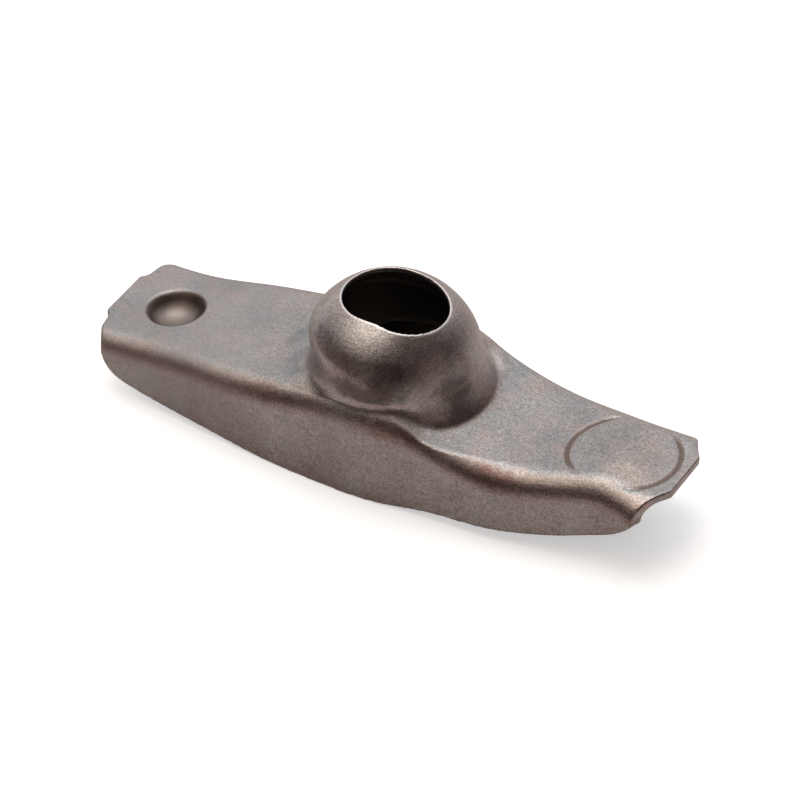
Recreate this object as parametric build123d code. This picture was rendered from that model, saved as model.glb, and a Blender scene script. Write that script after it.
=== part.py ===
from build123d import *
import math
import os

# Rocker arm pressed from one sheet of steel, in millimetres.
# +X runs from the pivot to the valve pad, +Z is up, and the XZ plane is the plane of symmetry.
# The origin is on the pivot axis, in the plane that the flange edges rest on.
#
# The sheet is the difference of two closed bodies, both made by pressing():
# the outside (inset 0) and the hollow under it (inset by the sheet's thickness).

# ---- driving dimensions ----------------------------------------------------

sheet = 1.2                      # thickness of the steel

# arms, measured along X from the pivot axis
cup_reach = 23.9                 # to the pushrod cup
cup_overhang = 6.0               # from the pushrod cup to the end of the web
waist_reach = 15.0               # to the lowest part of the web, between the dome and the pad
pad_reach = 24.9                 # to the middle of the valve pad
pad_overhang = 6.45              # from the middle of the pad to the tip

# channel: heights of the web, half widths over the flanges and outside bend radii
cup_web = 6.6
pivot_web = 10.85
waist_web = 7.68
pad_web = 8.95
cup_half_width = 7.3
pivot_half_width = 9.15
waist_half_width = 8.2
pad_half_width = 6.35
cup_bend = 2.2
pivot_bend = 3.0
pad_bend = 2.7
end_droop = 0.4                  # the web falls by this much past the cup and past the pad
tip_flare = 0.7                  # the flanges spread by this much beyond the pad
tip_thinning = 0.35              # the sheet is this much thinner at the tip

# how the channel changes between two sections: share of the way, then shares of the change
# in half width, web height and bend radius
cup_arm_shape = [
    (0.12, 0.0, 0.13, 0.0),
    (0.33, 0.13, 0.42, 0.4),
    (0.5, 0.31, 0.61, 0.8),
    (0.71, 0.62, 0.76, 1.0),
]
waist_shape = [
    (0.13, 0.0, 0.0, 0.0),
    (0.37, 0.37, 0.08, 0.0),
    (0.53, 0.57, 0.44, 0.6),
    (0.73, 0.73, 0.78, 1.0),
]
pad_arm_shape = [(0.4, 0.38, 0.25, 1.0), (0.75, 0.76, 0.71, 1.0)]
tip_shape = [(0.4, 0.4, 0.5, 1.0), (0.7, 0.7, 0.8, 1.0)]

# how the low web of the valve arm falls from the pivot: shares of waist_reach and of the fall
web_fall = [(-0.07, 0.0), (0.2, 0.12), (0.38, 0.35), (0.48, 0.63), (0.62, 0.86), (0.77, 0.94), (1.03, 1.0)]
web_rise_reach = 1.2             # past the waist it rises clear of the channel: share of waist_reach,
web_rise = 0.6                   # and height above the waist

# ball-seat dome
crown_radius = 8.9               # outside of the spherical crown
crown_centre = 9.6               # height of its centre
crown_thinning = 0.8             # the ball seat's centre is this much higher
crown_blend = 2.5                # outside radius from the crown into the wall
neck_step = 0.8                  # the wall's radius at the neck is this much less than the crown's
neck_offset = 0.65               # the wall is this much nearer to the valve than the crown
neck_height = 10.15
neck_lean = 5.0                  # degrees that the wall leans in towards the neck
neck_blend = 1.0                 # radius in the crease round the neck

# skirt round the neck, on the valve side
skirt_radius = 8.05              # at neck_height, from its own axis
skirt_offset = 1.3               # its axis is this much nearer to the valve than the crown
skirt_slope = 65.0               # degrees that it falls towards the web
skirt_rise = 2.2                 # it starts this much above crown_centre, inside the crown

# stud slot through the crown, longer along the arm
slot_length = 10.3
slot_width = 8.6
slot_offset = 0.5                # towards the valve pad

# pushrod cup
cup_radius = 2.9
cup_depth = 1.7
cup_slope = 6.0                  # degrees that the web rises towards the pivot there

# groove coined round the valve pad
pad_radius = 5.1
groove_width = 0.45
groove_depth = 0.15
groove_half_width = 4.7          # it runs out on the bends beyond this

# ends of the blank, in plan
cup_edge = 6.0                   # length of the straight edge at the pushrod end
cup_setback = 1.9                # from that edge to the ends of the flanges
cup_step = 0.55                  # jog beside the straight edge,
cup_step_width = 0.6             # and its width
cup_bulge = 0.3                  # from the jog to the fullest part of the round corner,
cup_bulge_place = 0.55           # and the share of the way from the edge's end to the flange
tip_edge = 5.6
tip_setback = 2.35
tip_chamfer = 0.75               # cut back beside the straight edge,
tip_chamfer_width = 1.15         # over this width
tip_corner = 0.65                # the corner is this much wider than the pad

# flange edges, in side view: shares of the way from the rest, and of the rise, to each end
rest_back = 7.0                  # the arm rests on a level stretch from here,
rest_front = 2.5                 # on the other side of the pivot axis, to here
cup_flange = 4.1                 # height where the flange edge ends at the pushrod end
cup_flange_curve = [(0.38, 0.115), (0.83, 0.33), (0.955, 0.6)]
cup_flange_end = (-0.15, 1.0)    # direction in which it ends, along X and up
tip_flange = 6.2                 # height where it ends at the tip,
tip_flange_lead = 0.25           # this much past the end of the flange
tip_flange_curve = [(0.21, 0.1), (0.43, 0.16), (0.65, 0.28), (0.82, 0.475), (0.925, 0.7)]
tip_flange_end = (1.0, 1.2)

# ---- places worked out from them -------------------------------------------

cup_end = -cup_reach - cup_overhang
tip = pad_reach + pad_overhang
neck_radius = crown_radius - neck_step
touching = 0.02                  # a point this near to the wall is taken to be on it
margin = 1.0                     # the untrimmed channel runs past its ends by this
foot = -2.0                      # height where the untrimmed flanges end
above = 20.0                     # clear above everything
on_base = (Align.CENTER, Align.CENTER, Align.MIN)


def mix(start, end, share):
    """Value that lies a share of the way from start to end."""
    return start + (end - start) * share


def channel_section(x, half_width, web, bend, inset):
    """Closed cross-section of the channel, standing in the YZ plane at x."""
    side = half_width - inset
    top = web - inset
    radius = bend - inset
    base = foot - inset
    with BuildSketch(Plane(origin=(x, 0, 0), x_dir=(0, 1, 0), z_dir=(1, 0, 0))) as section:
        with BuildLine():
            Line((-side, base), (-side, top - radius))
            RadiusArc((-side, top - radius), (radius - side, top), radius)
            Line((radius - side, top), (side - radius, top))
            RadiusArc((side - radius, top), (side, top - radius), radius)
            Polyline((side, top - radius), (side, base), (-side, base))
        make_face()
    return section.sketch.face()


def stations_between(start, end, shape):
    """Stations of the channel between two given ones, each x, half width, web height and bend."""
    return [
        [mix(a, b, share) for a, b, share in zip(start, end, shares)]
        for shares in shape
    ]


def channel(inset):
    """Body of the channel: the outside is lofted smoothly, the hollow in straight stretches."""
    cup = (-cup_reach, cup_half_width, cup_web, cup_bend)
    pivot = (0, pivot_half_width, pivot_web, pivot_bend)
    waist = (waist_reach, waist_half_width, waist_web, pad_bend)
    pad = (pad_reach, pad_half_width, pad_web, pad_bend)
    thinning = tip_thinning * inset / sheet
    beyond_cup = (cup_end - margin, cup_half_width, cup_web - end_droop, cup_bend)
    beyond_tip = (tip + margin, pad_half_width + tip_flare, pad_web - end_droop + thinning, pad_bend)
    stations = [
        beyond_cup,
        cup,
        *reversed(stations_between(pivot, cup, cup_arm_shape)),
        *stations_between(pivot, waist, waist_shape),
        waist,
        *stations_between(waist, pad, pad_arm_shape),
        pad,
        *stations_between(pad, beyond_tip, tip_shape),
        beyond_tip,
    ]
    sections = [channel_section(*station, inset).outer_wire() for station in stations]
    return Solid.make_loft(sections, ruled=inset == sheet)


def over_low_web(inset):
    """Region over the low web of the valve arm, which leaves a crest along each bend."""
    web = [(waist_reach * along, mix(pivot_web, waist_web, down) - inset) for along, down in web_fall]
    web.append((waist_reach * web_rise_reach, waist_web + web_rise - inset))
    with BuildSketch(Plane.XZ) as region:
        with BuildLine():
            Spline(*web)
            Polyline(web[-1], (web[-1][0], above), (web[0][0], above), web[0])
        make_face()
    return extrude(region.sketch, amount=2 * pivot_half_width, both=True)


def skirt(inset):
    """Cone round the neck, on the valve side only and between the flanges."""
    slope = math.radians(skirt_slope)
    radius = skirt_radius - inset / math.sin(slope)
    low = waist_web - pivot_bend
    high = crown_centre + skirt_rise
    spread = (neck_height - low) / math.tan(slope)
    draw = (high - neck_height) / math.tan(slope)
    cone = Cone(radius + spread, radius - draw, high - low, align=on_base)
    valve_side = Box(above, 2 * (waist_half_width - inset), above, align=(Align.MIN, Align.CENTER, Align.MIN))
    return Pos(skirt_offset, 0, low) * cone & valve_side


def wall_radius(height):
    """Outside radius of the dome's wall, measured from its own axis."""
    return neck_radius + math.tan(math.radians(neck_lean)) * (height - neck_height)


def dome(inset):
    """Crown and wall; the hollow side is the ball seat."""
    wall = Cone(wall_radius(cup_web) - inset, wall_radius(above) - inset, above - cup_web, align=on_base)
    wall = Pos(neck_offset, 0, cup_web) * wall
    if not inset:
        body = wall & Pos(0, 0, crown_centre) * Sphere(crown_radius)
        rim = body.edges().filter_by(lambda edge: edge.is_closed and edge.center().Z > neck_height)
        return body.fillet(crown_blend, rim)
    return wall & Pos(0, 0, crown_centre + crown_thinning) * Sphere(crown_radius - inset)


def cup(inset):
    """Ball that sinks the pushrod cup square to the web; the hollow side gets a plain cone."""
    place = Pos(-cup_reach, 0, cup_web) * Rot(0, -cup_slope, 0)
    if not inset:
        radius = (cup_radius**2 + cup_depth**2) / (2 * cup_depth)
        return place * Pos(0, 0, radius - cup_depth) * Sphere(radius)
    wide = cup_radius + inset
    deep = cup_depth + inset
    return place * Cone(wide - deep / 2, wide + deep / 2, 2 * deep)


def neck_edges(body):
    """Edges of the crease where the dome's wall meets the web, the bends and the skirt."""

    def on_wall(point):
        return abs(math.hypot(point.X - neck_offset, point.Y) - wall_radius(point.Z)) < touching

    def in_crease(edge):
        points = [edge @ share for share in (0, 0.5, 1)]
        above_ends = all(cup_web + margin < point.Z < neck_height + margin for point in points)
        seam = edge.bounding_box().size.Y < touching
        return above_ends and not seam and all(on_wall(point) for point in points)

    return body.edges().filter_by(in_crease)


def pressing(inset):
    """One side of the pressed sheet, as a closed body."""
    body = channel(inset) - over_low_web(inset)
    body = body + dome(inset)
    if not inset:
        body = body.fillet(neck_blend, neck_edges(body))
    return body + skirt(inset) - cup(inset)


def blank():
    """Outline that the sheet was cut to, in plan, standing through the whole height."""
    flange_end = cup_end + cup_setback
    tip_flange_end = tip - tip_setback
    wide = pivot_half_width + margin
    with BuildSketch() as outline:
        with BuildLine():
            Polyline(
                (0, 0),
                (cup_end, 0),
                (cup_end, cup_edge / 2),
                (cup_end + cup_step, cup_edge / 2 + cup_step_width),
                (cup_end + cup_step + cup_bulge, mix(cup_edge / 2, cup_half_width, cup_bulge_place)),
                (flange_end, cup_half_width),
                (flange_end, wide),
                (tip_flange_end, wide),
                (tip_flange_end, pad_half_width + tip_corner),
                (tip - tip_chamfer, tip_edge / 2 + tip_chamfer_width),
                (tip, tip_edge / 2),
                (tip, 0),
                (0, 0),
            )
        make_face()
        mirror(about=Plane.XZ)
    return extrude(outline.sketch, amount=2 * above, both=True)


def flange_edges():
    """Region over the flange edges, in side view."""
    cup_side = cup_end + cup_setback
    tip_side = tip - tip_setback + tip_flange_lead
    to_cup = [(mix(-rest_back, cup_side, along), cup_flange * up) for along, up in cup_flange_curve]
    to_tip = [(mix(rest_front, tip_side, along), tip_flange * up) for along, up in tip_flange_curve]
    with BuildSketch(Plane.XZ) as region:
        with BuildLine():
            Spline((-rest_back, 0), *to_cup, (cup_side, cup_flange), tangents=[(-1, 0), cup_flange_end])
            Line((-rest_back, 0), (rest_front, 0))
            Spline((rest_front, 0), *to_tip, (tip_side, tip_flange), tangents=[(1, 0), tip_flange_end])
            Polyline(
                (tip_side, tip_flange),
                (tip + margin, tip_flange),
                (tip + margin, above),
                (cup_end - margin, above),
                (cup_end - margin, cup_flange),
                (cup_side, cup_flange),
            )
        make_face()
    return extrude(region.sketch, amount=2 * pivot_half_width, both=True)


def pad_groove():
    """Ring coined round the valve pad, as deep as groove_depth in the web."""
    ring = Circle(pad_radius + groove_width) - Circle(pad_radius)
    cutter = Pos(pad_reach, 0, 0) * extrude(ring, amount=above)
    cutter = cutter & Box(4 * pad_reach, 2 * groove_half_width, 2 * above)
    return cutter - channel(groove_depth)


def stud_slot():
    """Slot through the crown."""
    return Pos(slot_offset, 0, crown_centre) * extrude(SlotOverall(slot_length, slot_width), amount=above)


def build():
    part = pressing(0) - pressing(sheet)
    part = part - stud_slot() - pad_groove()
    return part & blank() & flange_edges()


os.makedirs("parts", exist_ok=True)
rocker_arm = build()
rocker_arm.label = "rocker_arm"
export_step(rocker_arm, "parts/rocker_arm.step")
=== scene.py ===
"""Looks of a pressed-steel rocker arm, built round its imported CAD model."""

import math

import bpy
import numpy as np
from mathutils import Matrix, Vector


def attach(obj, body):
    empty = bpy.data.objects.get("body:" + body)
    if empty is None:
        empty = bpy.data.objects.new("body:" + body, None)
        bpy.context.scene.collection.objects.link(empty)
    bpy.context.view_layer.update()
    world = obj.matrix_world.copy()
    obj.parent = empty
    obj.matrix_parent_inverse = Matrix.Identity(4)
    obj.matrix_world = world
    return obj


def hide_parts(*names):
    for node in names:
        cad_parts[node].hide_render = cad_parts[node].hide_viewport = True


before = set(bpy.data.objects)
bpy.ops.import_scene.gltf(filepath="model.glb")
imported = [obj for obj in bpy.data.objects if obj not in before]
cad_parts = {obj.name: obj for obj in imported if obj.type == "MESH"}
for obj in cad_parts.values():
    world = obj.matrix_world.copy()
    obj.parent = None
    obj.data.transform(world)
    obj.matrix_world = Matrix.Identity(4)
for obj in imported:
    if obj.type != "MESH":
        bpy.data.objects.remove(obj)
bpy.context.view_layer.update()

MM = 0.001                        # in metres

# ---- places on the arm, in the frame's axes --------------------------------

crown_centre = 9.6 * MM           # height of the middle of the crown
neck_axis = 0.65 * MM             # x of the upright line that the dome's neck goes round
skirt_axis = 1.3 * MM             # x of the upright line that the skirt's foot goes round
web_height = 10.2 * MM            # of the web on the pushrod side, carried on to x = 0
web_slope = 0.21                  # and how fast the web climbs with x
pad_centre = 24.9 * MM            # x of the middle of the valve pad
cup_centre = -23.9 * MM           # x of the middle of the pushrod cup
slot_offset = 0.5 * MM            # the slot's middle is this much nearer to the valve
slot_half = 0.85 * MM             # half the length of the slot's straight sides
slot_radius = 4.3 * MM            # of its round ends

# Below, a pair of limits says where something starts to show and where it shows in full. Its
# values are places in metres, or levels of a noise, of a normal's slope or of a ray's cosine.


# ---- the pressed sheet -----------------------------------------------------

def apply_modifiers(piece):
    """Gives the piece the mesh that its modifiers make, and takes them off."""
    evaluated = piece.evaluated_get(bpy.context.evaluated_depsgraph_get())
    mesh = bpy.data.meshes.new_from_object(evaluated)
    piece.modifiers.clear()
    piece.data = mesh


def soft_copy(node, voxel, name):
    """Even, finely divided copy of a CAD node, ready to be smoothed."""
    weld_gap = 0.0001 * MM
    piece = bpy.data.objects.new(name, node.data.copy())
    bpy.context.scene.collection.objects.link(piece)
    weld = piece.modifiers.new("weld", "WELD")
    weld.merge_threshold = weld_gap
    remesh = piece.modifiers.new("remesh", "REMESH")
    remesh.mode = "VOXEL"
    remesh.voxel_size = voxel
    apply_modifiers(piece)
    piece.data.materials.clear()
    return piece


def read_points(mesh):
    points = np.empty(len(mesh.vertices) * 3)
    mesh.vertices.foreach_get("co", points)
    return points.reshape(-1, 3)


def read_edges(mesh):
    edges = np.empty(len(mesh.edges) * 2, dtype=np.int64)
    mesh.edges.foreach_get("vertices", edges)
    return edges.reshape(-1, 2)


def relax(points, edges, weights, rounds):
    """Moves each point towards the middle of its neighbours, as far as its weight lets it."""
    step = 0.5
    # only the points that move and their neighbours are worked on
    moving = weights > 0
    near = edges[moving[edges].any(axis=1)]
    used = np.unique(near)
    first, second = np.searchsorted(used, near).T
    count = np.bincount(edges.ravel(), minlength=len(points))[used][:, None]
    share = (step * weights[used])[:, None]
    part = points[used]
    for _ in range(rounds):
        total = np.empty_like(part)
        for axis in range(3):
            total[:, axis] = np.bincount(first, part[second, axis], len(part))
            total[:, axis] += np.bincount(second, part[first, axis], len(part))
        part = part + share * (total / count - part)
    points = points.copy()
    points[used] = part
    return points


def fade(values, limits):
    """0 at the first limit and 1 at the second, with a smooth change between."""
    start, end = limits
    share = np.clip((values - start) / (end - start), 0, 1)
    return share * share * (3 - 2 * share)


def skirt_foot(x, y, z):
    """Weights: the foot of the skirt runs softly into the web, and its top into the dome."""
    inner = (7.0 * MM, 7.6 * MM)
    outer = (10.6 * MM, 9.8 * MM)
    valve_side = (2 * MM, 5 * MM)
    bottom = (6.6 * MM, 7.3 * MM)
    top = (13.5 * MM, 12.5 * MM)
    between_bends = (8.2 * MM, 7.4 * MM)
    reach = np.hypot(x - skirt_axis, y)
    near = fade(reach, inner) * fade(reach, outer)
    near *= fade(x, valve_side) * fade(z, bottom) * fade(z, top)
    return near * fade(np.abs(y), between_bends)


def neck_foot(x, y, z):
    """Weights: the dome grows softly out of the web on the pushrod side."""
    inner = (7.5 * MM, 7.9 * MM)
    outer = (12.0 * MM, 10.5 * MM)
    pushrod_side = (2 * MM, -1 * MM)
    rise = 0.3 * MM
    top = (14 * MM, 12 * MM)
    between_bends = (8.7 * MM, 7.6 * MM)
    reach = np.hypot(x - neck_axis, y)
    web = web_height + web_slope * x
    near = fade(reach, inner) * fade(reach, outer) * fade(x, pushrod_side)
    near *= fade(z, (web, web + rise)) * fade(z, top) * fade(np.abs(y), between_bends)
    return near


def cup_rim(x, y, z):
    """Weights: the web runs softly into the pushrod cup."""
    inner = (2.2 * MM, 2.6 * MM)
    outer = (3.8 * MM, 3.4 * MM)
    outside = (4.8 * MM, 5.4 * MM)
    reach = np.hypot(x - cup_centre, y)
    return fade(reach, inner) * fade(reach, outer) * fade(z, outside)


def thin_out(piece, most):
    """Leaves about as many triangles as asked, fewest where the surface is flat."""
    triangles = 2 * len(piece.data.polygons)      # the even copy has four-sided faces
    thin = piece.modifiers.new("thin", "DECIMATE")
    thin.ratio = min(1.0, most / triangles)
    apply_modifiers(piece)


def pressed_sheet():
    """The arm with the soft blends that pressing leaves."""
    voxel = 0.1 * MM
    even_rounds = 12
    blends = [(skirt_foot, 140), (neck_foot, 420), (cup_rim, 60)]
    most_triangles = 190000
    piece = soft_copy(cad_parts["rocker_arm"], voxel, "pressed_sheet")
    mesh = piece.data
    points = read_points(mesh)
    edges = read_edges(mesh)
    low = points.min(axis=0)
    high = points.max(axis=0)
    points = relax(points, edges, np.ones(len(points)), even_rounds)
    x, y, z = points.T
    for weights, rounds in blends:
        points = relax(points, edges, weights(x, y, z), rounds)
    points = np.clip(points, low, high)
    mesh.vertices.foreach_set("co", points.ravel())
    mesh.update()
    thin_out(piece, most_triangles)
    smooth = np.ones(len(piece.data.polygons), dtype=bool)
    piece.data.polygons.foreach_set("use_smooth", smooth)
    return piece


# ---- node trees ------------------------------------------------------------

class Nodes:
    """Short way to write the node tree of a material or a world."""

    # sockets of a Mix node that belong to its colour mode
    FIRST_COLOUR = 6
    SECOND_COLOUR = 7
    MIXED_COLOUR = 2

    def __init__(self, owner, coordinates="Object"):
        self.owner = owner
        owner.use_nodes = True
        self.node_tree = owner.node_tree
        self.node_tree.nodes.clear()
        self.place = self.add("ShaderNodeTexCoord").outputs[coordinates]
        split = self.add("ShaderNodeSeparateXYZ", Vector=self.place)
        self.x, self.y, self.z = split.outputs

    def add(self, kind, **inputs):
        node = self.node_tree.nodes.new(kind)
        for name, value in inputs.items():
            self.set(node.inputs[name.replace("_", " ")], value)
        return node

    def set(self, socket, value):
        if isinstance(value, bpy.types.NodeSocket):
            self.node_tree.links.new(value, socket)
        else:
            socket.default_value = value

    def noise_node(self, size, detail, roughness, distortion=0.0):
        """Noise texture whose features are about size across, in metres."""
        node = self.add("ShaderNodeTexNoise", Scale=1 / size, Detail=detail)
        self.set(node.inputs["Roughness"], roughness)
        self.set(node.inputs["Distortion"], distortion)
        self.set(node.inputs["Vector"], self.place)
        return node

    def noise(self, **settings):
        """Plain value of a noise texture."""
        return self.noise_node(**settings).outputs["Fac"]

    def ramp(self, value, limits, low=0.0, high=1.0, smooth=True):
        """Low at the first limit and high at the second."""
        node = self.add("ShaderNodeMapRange", Value=value)
        node.interpolation_type = "SMOOTHSTEP" if smooth else "LINEAR"
        self.set(node.inputs["From Min"], limits[0])
        self.set(node.inputs["From Max"], limits[1])
        self.set(node.inputs["To Min"], low)
        self.set(node.inputs["To Max"], high)
        return node.outputs["Result"]

    def math(self, operation, *values):
        node = self.node_tree.nodes.new("ShaderNodeMath")
        node.operation = operation
        for socket, value in zip(node.inputs, values):
            self.set(socket, value)
        return node.outputs["Value"]

    def times(self, first, *others):
        for other in others:
            first = self.math("MULTIPLY", first, other)
        return first

    def vector(self, operation, *values):
        node = self.node_tree.nodes.new("ShaderNodeVectorMath")
        node.operation = operation
        for socket, value in zip(node.inputs, values):
            self.set(socket, value)
        plain = operation in ("DOT_PRODUCT", "LENGTH")
        return node.outputs["Value" if plain else "Vector"]

    def mix(self, share, first, second, way="MIX"):
        node = self.node_tree.nodes.new("ShaderNodeMix")
        node.data_type = "RGBA"
        node.blend_type = way
        self.set(node.inputs["Factor"], share)
        self.set(node.inputs[self.FIRST_COLOUR], first)
        self.set(node.inputs[self.SECOND_COLOUR], second)
        return node.outputs[self.MIXED_COLOUR]

    def shade(self, colour, tone):
        """The colour times a plain tone."""
        grey = self.add("ShaderNodeCombineColor", Red=tone, Green=tone, Blue=tone)
        return self.mix(1.0, colour, grey.outputs["Color"], "MULTIPLY")

    def towards(self, direction):
        """Cosine of the angle between a ray and a direction of unit length."""
        return self.vector("DOT_PRODUCT", self.place, direction)

    def ragged(self, size, amount):
        """Object coordinates, each shifted at random by up to about half the amount."""
        noise = self.noise_node(size=size, detail=3.0, roughness=0.6)
        shift = self.vector("MULTIPLY_ADD", noise.outputs["Color"], [amount] * 3, self.place)
        return self.vector("SUBTRACT", shift, [amount / 2] * 3)

    def distance(self, point, scale=(1, 1, 1), place=None):
        """Distance from a point, with each axis first stretched by scale."""
        shift = self.vector("SUBTRACT", place or self.place, point)
        return self.vector("LENGTH", self.vector("MULTIPLY", shift, scale))

    def reach(self, x, y=0.0):
        """Level distance from the upright line at x and y."""
        return self.distance((x, y, 0), (1, 1, 0))

    def pick(self, share, first, second):
        """Mixes two shaders, by the second's share."""
        node = self.node_tree.nodes.new("ShaderNodeMixShader")
        for socket, value in zip(node.inputs, (share, first, second)):
            self.set(socket, value)
        return node.outputs["Shader"]

    def end(self, kind, surface):
        """Sends a shader to the tree's output and gives back the material or world."""
        self.add(kind, Surface=surface)
        return self.owner


# ---- the steel -------------------------------------------------------------

# colours, linear
grey = (0.328, 0.310, 0.302, 1)
warm = (0.362, 0.310, 0.292, 1)
cool = (0.304, 0.301, 0.297, 1)
# flank colours: partly their own tint, partly painted reflection
side = (0.352, 0.312, 0.302, 1)
plain_side = (0.366, 0.352, 0.344, 1)
# a painted highlight and a painted shade for the bends
pale_bend_highlight = (0.385, 0.325, 0.292, 1)
brown_bend_shade = (0.315, 0.228, 0.214, 1)
cup_brown = (0.285, 0.232, 0.205, 1)
groove_brown = (0.120, 0.075, 0.052, 1)
# worn bright, and a painted highlight
worn_highlight = (0.640, 0.600, 0.580, 1)
# painted shade inside the seat
shade_black = (0.060, 0.054, 0.046, 1)
# dark colours for painted shade
maroon_shade = (0.190, 0.105, 0.095, 1)
shade_dark = (0.075, 0.055, 0.046, 1)
# blue-grey: painted shade beside the dome, and the pad's own tint
slate_tint_and_shade = (0.190, 0.196, 0.200, 1)
# colours for painted highlights
tan_highlight = (0.480, 0.395, 0.352, 1)
highlight_silver = (0.600, 0.565, 0.545, 1)
umber = (0.230, 0.160, 0.115, 1)

# soft marks, real stains and tints but also painted shade and painted highlights: middle and radii in
# mm, colour, and how far the steel takes that colour
stain_and_light_marks = [
    # painted shade on the dome's front
    ((-0.9, -7.4, 13.4), (2.2, 2.0, 2.2), maroon_shade, 0.25),
    ((3.8, -6.8, 13.2), (2.6, 2.4, 2.5), shade_dark, 0.62),
    ((1.8, -8.2, 11.9), (5.6, 3.4, 1.7), shade_dark, 0.80),
    # painted highlights on the dome and the skirt
    ((-0.2, -5.7, 16.2), (4.3, 2.4, 2.0), highlight_silver, 0.80),
    ((-5.0, -2.8, 15.4), (1.8, 3.2, 2.2), highlight_silver, 0.40),
    ((6.9, -3.8, 13.9), (1.9, 2.2, 2.2), highlight_silver, 0.95),
    ((7.5, -5.2, 9.8), (3.0, 2.6, 1.6), highlight_silver, 0.90),
    # painted shade on the dome's right side
    ((8.3, -0.5, 13.0), (1.2, 1.3, 1.8), maroon_shade, 0.40),
    ((8.9, -1.7, 11.0), (1.3, 1.5, 1.2), shade_dark, 0.45),
    # painted highlight on the skirt's right flank
    ((8.0, 5.8, 9.5), (1.6, 1.8, 2.4), highlight_silver, 0.90),
    # painted shade where the web blends into the dome's left side, and on the dome's front-left
    ((-9.8, 0.2, 8.7), (1.5, 2.8, 1.4), slate_tint_and_shade, 0.65),
    ((-8.2, -3.0, 8.9), (1.2, 3.0, 1.5), slate_tint_and_shade, 0.65),
    ((-7.0, -5.2, 9.3), (1.4, 1.3, 1.2), slate_tint_and_shade, 0.55),
    ((-4.5, -5.3, 15.0), (0.6, 0.9, 1.6), slate_tint_and_shade, 0.55),
    # the valve pad's own tints
    ((25.2, 0.5, 8.9), (5.5, 5.0, 2.0), umber, 0.22),
    ((24.0, 2.4, 8.9), (2.6, 2.2, 1.5), slate_tint_and_shade, 0.30),
    # painted highlights on the pad and on the bend at the valve tip
    ((26.4, -2.9, 8.8), (3.0, 2.2, 1.5), tan_highlight, 0.70),
    ((29.2, -5.2, 8.0), (1.8, 1.6, 1.4), tan_highlight, 0.60),
    # a brown stain on the flange at the tip
    ((29.1, -6.8, 6.6), (0.9, 1.0, 1.0), umber, 0.60),
    # painted shade bands along the front bend and flank
    ((15.4, -7.2, 7.0), (4.0, 1.2, 1.2), maroon_shade, 0.75),
    ((-9.5, -8.1, 7.9), (6.5, 0.9, 1.1), maroon_shade, 0.50),
    ((5.5, -8.9, 8.7), (8.5, 1.1, 1.4), maroon_shade, 0.60),
]


class SteelNodes(Nodes):
    """The steel's node tree, with the noises and measures that its layers share."""

    def __init__(self):
        super().__init__(bpy.data.materials.new("tumbled_steel"))
        pushrod_end = (-7 * MM, -17 * MM)
        fine_share = 0.50
        geometry = self.add("ShaderNodeNewGeometry")
        normal = self.add("ShaderNodeSeparateXYZ", Vector=geometry.outputs["Normal"])
        self.sideways = normal.outputs["Y"]
        self.level = normal.outputs["Z"]             # 1 on the web, 0 on a flank
        self.cloud = self.noise(size=7 * MM, detail=3.0, roughness=0.55)
        self.fleck = self.noise(size=0.55 * MM, detail=3.0, roughness=0.7)
        self.grain = self.noise(size=0.17 * MM, detail=1.0, roughness=0.5)
        self.from_crown = self.distance((0, 0, crown_centre))
        self.from_neck = self.reach(neck_axis)
        self.from_cup = self.reach(cup_centre)
        # the pushrod end is smoother than the rest
        self.coarse = self.ramp(self.x, pushrod_end, 1.0, fine_share)


def base_colour(tree):
    """Cool and warm greys in clouds, with browner flanks; the flank tint is partly the steel's own and
    partly painted reflection.
    """
    clouds = (0.36, 0.64)
    patches = (0.44, 0.68)
    plain_parts = (0.40, 0.62)
    flanks = (0.9, 0.35)
    patch = tree.noise(size=2.4 * MM, detail=4.0, roughness=0.65, distortion=0.3)
    drift = tree.noise(size=5 * MM, detail=3.0, roughness=0.6)
    colour = tree.mix(tree.ramp(tree.cloud, clouds), cool, grey)
    colour = tree.mix(tree.ramp(patch, patches), colour, warm)
    flank = tree.mix(tree.ramp(drift, plain_parts), side, plain_side)
    return tree.mix(tree.ramp(tree.level, flanks), colour, flank)


def bend_highlight_and_shade(tree, colour):
    """Tan and brown along the bends: a painted highlight near the web and a painted shade band below
    it.
    """
    pale_top, pale_foot = (0.97, 0.88), (0.65, 0.80)
    brown_top, brown_foot = (0.88, 0.62), (0.05, 0.30)
    valve_end = (-20 * MM, -6 * MM)
    weak_pale, strong_pale = 0.25, 0.75
    off_dome = (8.6 * MM, 9.8 * MM)
    brown_share = 0.60
    pale = tree.times(tree.ramp(tree.level, pale_top), tree.ramp(tree.level, pale_foot))
    pale = tree.times(pale, tree.ramp(tree.x, valve_end, weak_pale, strong_pale))
    colour = tree.mix(pale, colour, pale_bend_highlight)
    brown = tree.times(tree.ramp(tree.level, brown_top), tree.ramp(tree.level, brown_foot))
    brown = tree.times(brown, tree.times(tree.ramp(tree.from_neck, off_dome), brown_share))
    return tree.mix(brown, colour, brown_bend_shade)


def stains_and_painted_light(tree, colour):
    """Soft stains, painted shade and painted highlights, with ragged outlines."""
    outline = (1.05, 0.35)            # in radii of the stain
    ragged = tree.ragged(size=1.6 * MM, amount=2.2 * MM)
    for middle, radii, tint, strength in stain_and_light_marks:
        place = [value * MM for value in middle]
        stretch = [1 / (value * MM) for value in radii]
        reach = tree.distance(place, stretch, ragged)
        colour = tree.mix(tree.ramp(reach, outline, 0.0, strength), colour, tint)
    return colour


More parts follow.
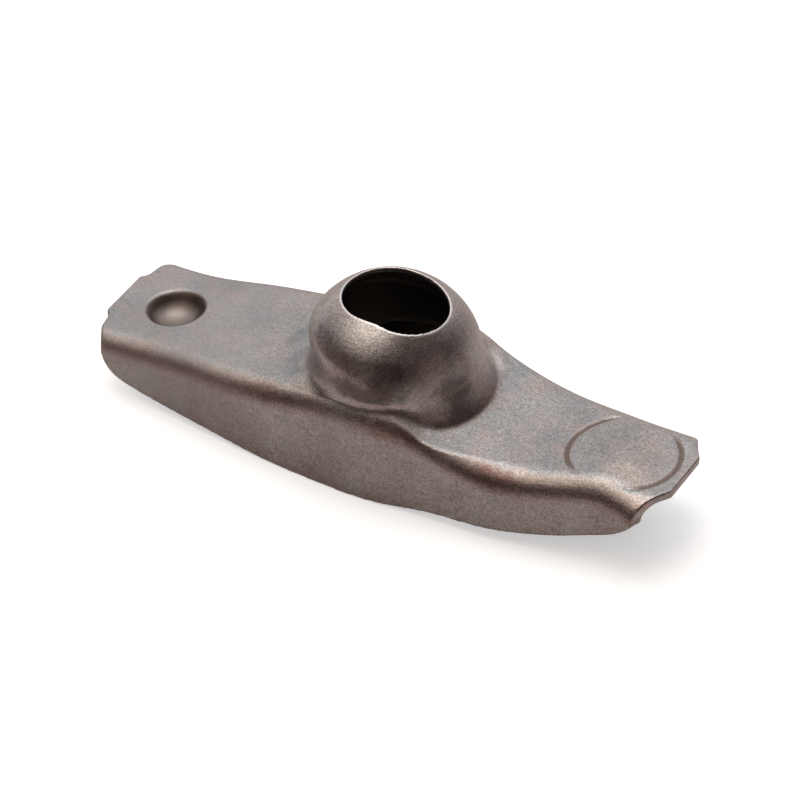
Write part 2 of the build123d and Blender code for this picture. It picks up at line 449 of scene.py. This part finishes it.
def crease_highlight(tree, colour):
    """A painted highlight line in the crease between the dome and its skirt."""
    climb = 0.07                      # of the crease, with x
    lower, upper = (10.28 * MM, 10.50 * MM), (10.85 * MM, 10.62 * MM)
    inner, outer = (7.9 * MM, 8.0 * MM), (8.9 * MM, 8.6 * MM)
    skirt_side = (-2.5 * MM, 0.5 * MM)
    share = 0.55
    height = tree.math("SUBTRACT", tree.z, tree.times(tree.x, climb))
    ring = tree.times(tree.ramp(tree.from_neck, inner), tree.ramp(tree.from_neck, outer))
    line = tree.times(tree.ramp(height, lower), tree.ramp(height, upper))
    line = tree.times(line, tree.ramp(tree.x, skirt_side), ring)
    return tree.mix(tree.times(line, share), colour, tan_highlight)


def speckled(tree, colour):
    """Light and dark grain, then slow changes of tone."""
    noise_range = (0.25, 0.75)
    grain_depth, fleck_depth = 0.34, 0.18
    cloud_range = (0.3, 0.7)
    dark_cloud, light_cloud = 0.92, 1.05
    for noise, depth in ((tree.grain, grain_depth), (tree.fleck, fleck_depth)):
        speckle = tree.times(tree.ramp(noise, noise_range, -depth, depth, smooth=False), tree.coarse)
        colour = tree.shade(colour, tree.math("ADD", speckle, 1.0))
    return tree.shade(colour, tree.ramp(tree.cloud, cloud_range, dark_cloud, light_cloud))


def cup_brown_and_shade(tree, colour):
    """The bottom of the pushrod cup is brown, and its far and side walls, away from the lit spot, are
    darkened as painted shade.
    """
    facing_up = (-0.2, 0.2)
    bottom = (3.1 * MM, 2.3 * MM)
    bottom_share = 0.7
    lit_x, lit_y = cup_centre + 0.25 * MM, -0.45 * MM
    off_lit = (1.4 * MM, 2.7 * MM)
    wall = (3.15 * MM, 2.75 * MM)
    shade_share = 0.88
    above = tree.ramp(tree.level, facing_up)
    brown = tree.times(tree.ramp(tree.from_cup, bottom, 0.0, bottom_share), above)
    colour = tree.mix(brown, colour, cup_brown)
    wall_shade = tree.times(tree.ramp(tree.reach(lit_x, lit_y), off_lit), tree.ramp(tree.from_cup, wall))
    return tree.mix(tree.times(wall_shade, above, shade_share), colour, shade_dark)


def dark_groove(tree, colour):
    """Dark brown in the coined groove round the valve pad, on its arcs at the pad's two ends along x.
    """
    inner, outer = (4.95 * MM, 5.18 * MM), (5.70 * MM, 5.45 * MM)
    ends = (4.7 * MM, 3.6 * MM)
    on_web = (0.5, 0.9)
    share = 0.80
    ring = tree.reach(pad_centre)
    groove = tree.times(tree.ramp(ring, inner), tree.ramp(ring, outer))
    across = tree.math("ABSOLUTE", tree.y)
    groove = tree.times(groove, tree.ramp(across, ends), tree.ramp(tree.level, on_web))
    return tree.mix(tree.times(groove, share), colour, groove_brown)


def worn_and_highlit_rim(tree, colour):
    """The upper edge of the stud slot is worn bright, and also painted as a bright highlight line."""
    rim = (0.34 * MM, 0.16 * MM)      # from the slot's wall
    outer_face = (8.55 * MM, 8.75 * MM)
    top = (13 * MM, 14 * MM)
    off_middle = tree.math("ABSOLUTE", tree.math("SUBTRACT", tree.x, slot_offset))
    along = tree.math("MAXIMUM", tree.math("SUBTRACT", off_middle, slot_half), 0.0)
    square = tree.math("ADD", tree.times(along, along), tree.times(tree.y, tree.y))
    off_wall = tree.math("SUBTRACT", tree.math("SQRT", square), slot_radius)
    bright = tree.times(tree.ramp(off_wall, rim), tree.ramp(tree.from_crown, outer_face))
    return tree.mix(tree.times(bright, tree.ramp(tree.z, top)), colour, worn_highlight)


def painted_shade_inside(tree, colour):
    """Inside the ball seat, and inside the flanges beside it, the steel is painted nearly black as
    shade.
    """
    within_neck = (7.5 * MM, 7.3 * MM)
    ball_face = (8.6 * MM, 8.35 * MM)
    inner_face = (-1 * MM, -4 * MM)   # y times the normal's y, below 0 where a flank faces inwards
    beside_seat = (16 * MM, 12 * MM)
    under_web = (10.4 * MM, 10.0 * MM)
    seat = tree.times(tree.ramp(tree.from_neck, within_neck), tree.ramp(tree.from_crown, ball_face))
    inward = tree.times(tree.y, tree.sideways)
    flange = tree.times(tree.ramp(inward, inner_face), tree.ramp(tree.from_crown, beside_seat))
    flange = tree.times(flange, tree.ramp(tree.z, under_web))
    return tree.mix(tree.math("MAXIMUM", seat, flange), colour, shade_black)


def roughness(tree):
    """Uneven gloss, duller in the cup and along the bends at the pushrod end."""
    noise_range = (0.3, 0.7)
    glossy, dull = 0.31, 0.40
    in_cup, cup_extra = (3.1 * MM, 2.6 * MM), 0.10
    on_bend = (0.99, 0.94)
    pushrod_end, bend_extra = (-5 * MM, -14 * MM), 0.13
    off_cup = (3.6 * MM, 4.4 * MM)
    noise = tree.noise(size=1.4 * MM, detail=3.0, roughness=0.6)
    gloss = tree.ramp(noise, noise_range, glossy, dull, smooth=False)
    gloss = tree.math("ADD", gloss, tree.times(tree.ramp(tree.from_cup, in_cup), cup_extra))
    bend = tree.times(tree.ramp(tree.level, on_bend), tree.ramp(tree.x, pushrod_end, 0.0, bend_extra))
    return tree.math("ADD", gloss, tree.times(bend, tree.ramp(tree.from_cup, off_cup)))


def steel():
    """Tumbled, hardened sheet steel: grey with brown stains, speckled grain and worn edges, and painted
    highlights and shade.
    """
    tree = SteelNodes()
    colour = base_colour(tree)
    layers = [
        bend_highlight_and_shade,
        stains_and_painted_light,
        crease_highlight,
        speckled,
        cup_brown_and_shade,
        dark_groove,
        worn_and_highlit_rim,
        painted_shade_inside,
    ]
    for layer in layers:
        colour = layer(tree, colour)
    bump = tree.add("ShaderNodeBump", Strength=0.7, Distance=0.030 * MM)
    tree.set(bump.inputs["Height"], tree.math("ADD", tree.times(tree.grain, tree.coarse), tree.fleck))
    shader = tree.add("ShaderNodeBsdfPrincipled", Metallic=0.92, Base_Color=colour)
    tree.set(shader.inputs["Roughness"], roughness(tree))
    tree.set(shader.inputs["Normal"], bump.outputs["Normal"])
    return tree.end("ShaderNodeOutputMaterial", shader.outputs["BSDF"])


# ---- stage, light and camera -----------------------------------------------

def floor():
    """Pale floor: white to the camera, softly shaded by the arm, and duller to every other ray."""
    floor_half = 0.6
    drop = 0.02 * MM                  # keeps the flange edges clear of it
    seen_white = (0.9, 0.9, 0.9, 1)
    dull_white = (0.80, 0.73, 0.71, 1)
    shadow_half_length, shadow_half_width = 27 * MM, 7.5 * MM
    shadow_edge = (0.3, 1.1)          # in shares of those halves
    glow_strength = 0.52
    mesh = bpy.data.meshes.new("floor")
    corners = [(-1, -1, 0), (1, -1, 0), (1, 1, 0), (-1, 1, 0)]
    mesh.from_pydata([Vector(corner) * floor_half for corner in corners], [], [(0, 1, 2, 3)])
    stage = bpy.data.objects.new("floor", mesh)
    stage.location.z = -drop
    bpy.context.scene.collection.objects.link(stage)
    tree = Nodes(bpy.data.materials.new("floor_white"))
    stretch = (1 / shadow_half_length, 1 / shadow_half_width, 0)
    from_arm = tree.distance((0, 0, 0), stretch)
    # painted shadow: the glow fades out under the arm
    glow = tree.add("ShaderNodeEmission", Strength=tree.ramp(from_arm, shadow_edge, 0.0, glow_strength))
    seen = tree.add("ShaderNodeAddShader")
    tree.set(seen.inputs[0], tree.add("ShaderNodeBsdfDiffuse", Color=seen_white).outputs["BSDF"])
    tree.set(seen.inputs[1], glow.outputs["Emission"])
    dull = tree.add("ShaderNodeBsdfDiffuse", Color=dull_white).outputs["BSDF"]
    camera_ray = tree.add("ShaderNodeLightPath").outputs["Is Camera Ray"]
    surface = tree.pick(camera_ray, dull, seen.outputs["Shader"])
    mesh.materials.append(tree.end("ShaderNodeOutputMaterial", surface))


def lamp(name, place, target, size, power):
    """Square soft lamp that faces the target."""
    data = bpy.data.lights.new(name, "AREA")
    data.size = size
    data.energy = power
    holder = bpy.data.objects.new(name, data)
    bpy.context.scene.collection.objects.link(holder)
    direction = Vector(target) - Vector(place)
    holder.rotation_euler = direction.to_track_quat("-Z", "Y").to_euler()
    holder.location = place


def studio():
    """Bright behind and overhead, dark brown on the camera's side, white where the camera looks."""
    overhead_axis, overhead_edge = (-0.30, -0.25, 0.92), (0.82, 0.96)
    behind_axis, behind_edge = (-0.385, 0.672, 0.632), (0.30, 0.80)
    overhead_light = (1.34, 1.19, 1.06, 1)
    behind_light = (0.96, 0.95, 0.96, 1)
    camera_side = (0.055, 0.030, 0.025, 1)
    world = bpy.data.worlds.new("studio")
    bpy.context.scene.world = world
    tree = Nodes(world, "Generated")
    colour = tree.mix(tree.ramp(tree.towards(behind_axis), behind_edge), camera_side, behind_light)
    colour = tree.mix(tree.ramp(tree.towards(overhead_axis), overhead_edge), colour, overhead_light)
    light = tree.add("ShaderNodeBackground", Color=colour).outputs["Background"]
    white = tree.add("ShaderNodeBackground", Color=(1, 1, 1, 1)).outputs["Background"]
    camera_ray = tree.add("ShaderNodeLightPath").outputs["Is Camera Ray"]
    tree.end("ShaderNodeOutputWorld", tree.pick(camera_ray, light, white))
    lamp("top_lamp", place=(-0.05, 0.05, 0.32), target=(0, 0, 0), size=0.25, power=0.3)


def camera():
    """Long lens at the photograph's angle; sizes in pixels are of an 800 pixel frame."""
    frame_pixels = 800
    focal_pixels = 5400
    azimuth = math.radians(29.8)
    elevation = math.radians(39.218)
    anchor = Vector((0, 0, crown_centre))
    anchor_pixel = (391.2, 360.4)
    distance = 509.4 * MM
    right = Vector((math.cos(azimuth), math.sin(azimuth), 0))
    lean = math.sin(elevation)
    up = Vector((-math.sin(azimuth) * lean, math.cos(azimuth) * lean, math.cos(elevation)))
    back = right.cross(up)
    data = bpy.data.cameras.new("camera")
    data.sensor_width = 36
    data.lens = data.sensor_width * focal_pixels / frame_pixels
    data.clip_start = 0.05
    data.clip_end = 10
    eye = bpy.data.objects.new("camera", data)
    bpy.context.scene.collection.objects.link(eye)
    across = (anchor_pixel[0] - frame_pixels / 2) * distance / focal_pixels
    down = (anchor_pixel[1] - frame_pixels / 2) * distance / focal_pixels
    place = anchor - right * across + up * down + back * distance
    turn = Matrix((right, up, back)).transposed().to_4x4()
    eye.matrix_world = Matrix.Translation(place) @ turn
    bpy.context.scene.camera = eye


bpy.context.scene.view_settings.view_transform = "Standard"
sheet = pressed_sheet()
sheet.data.materials.append(steel())
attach(sheet, "root")
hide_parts("rocker_arm")
floor()
studio()
camera()
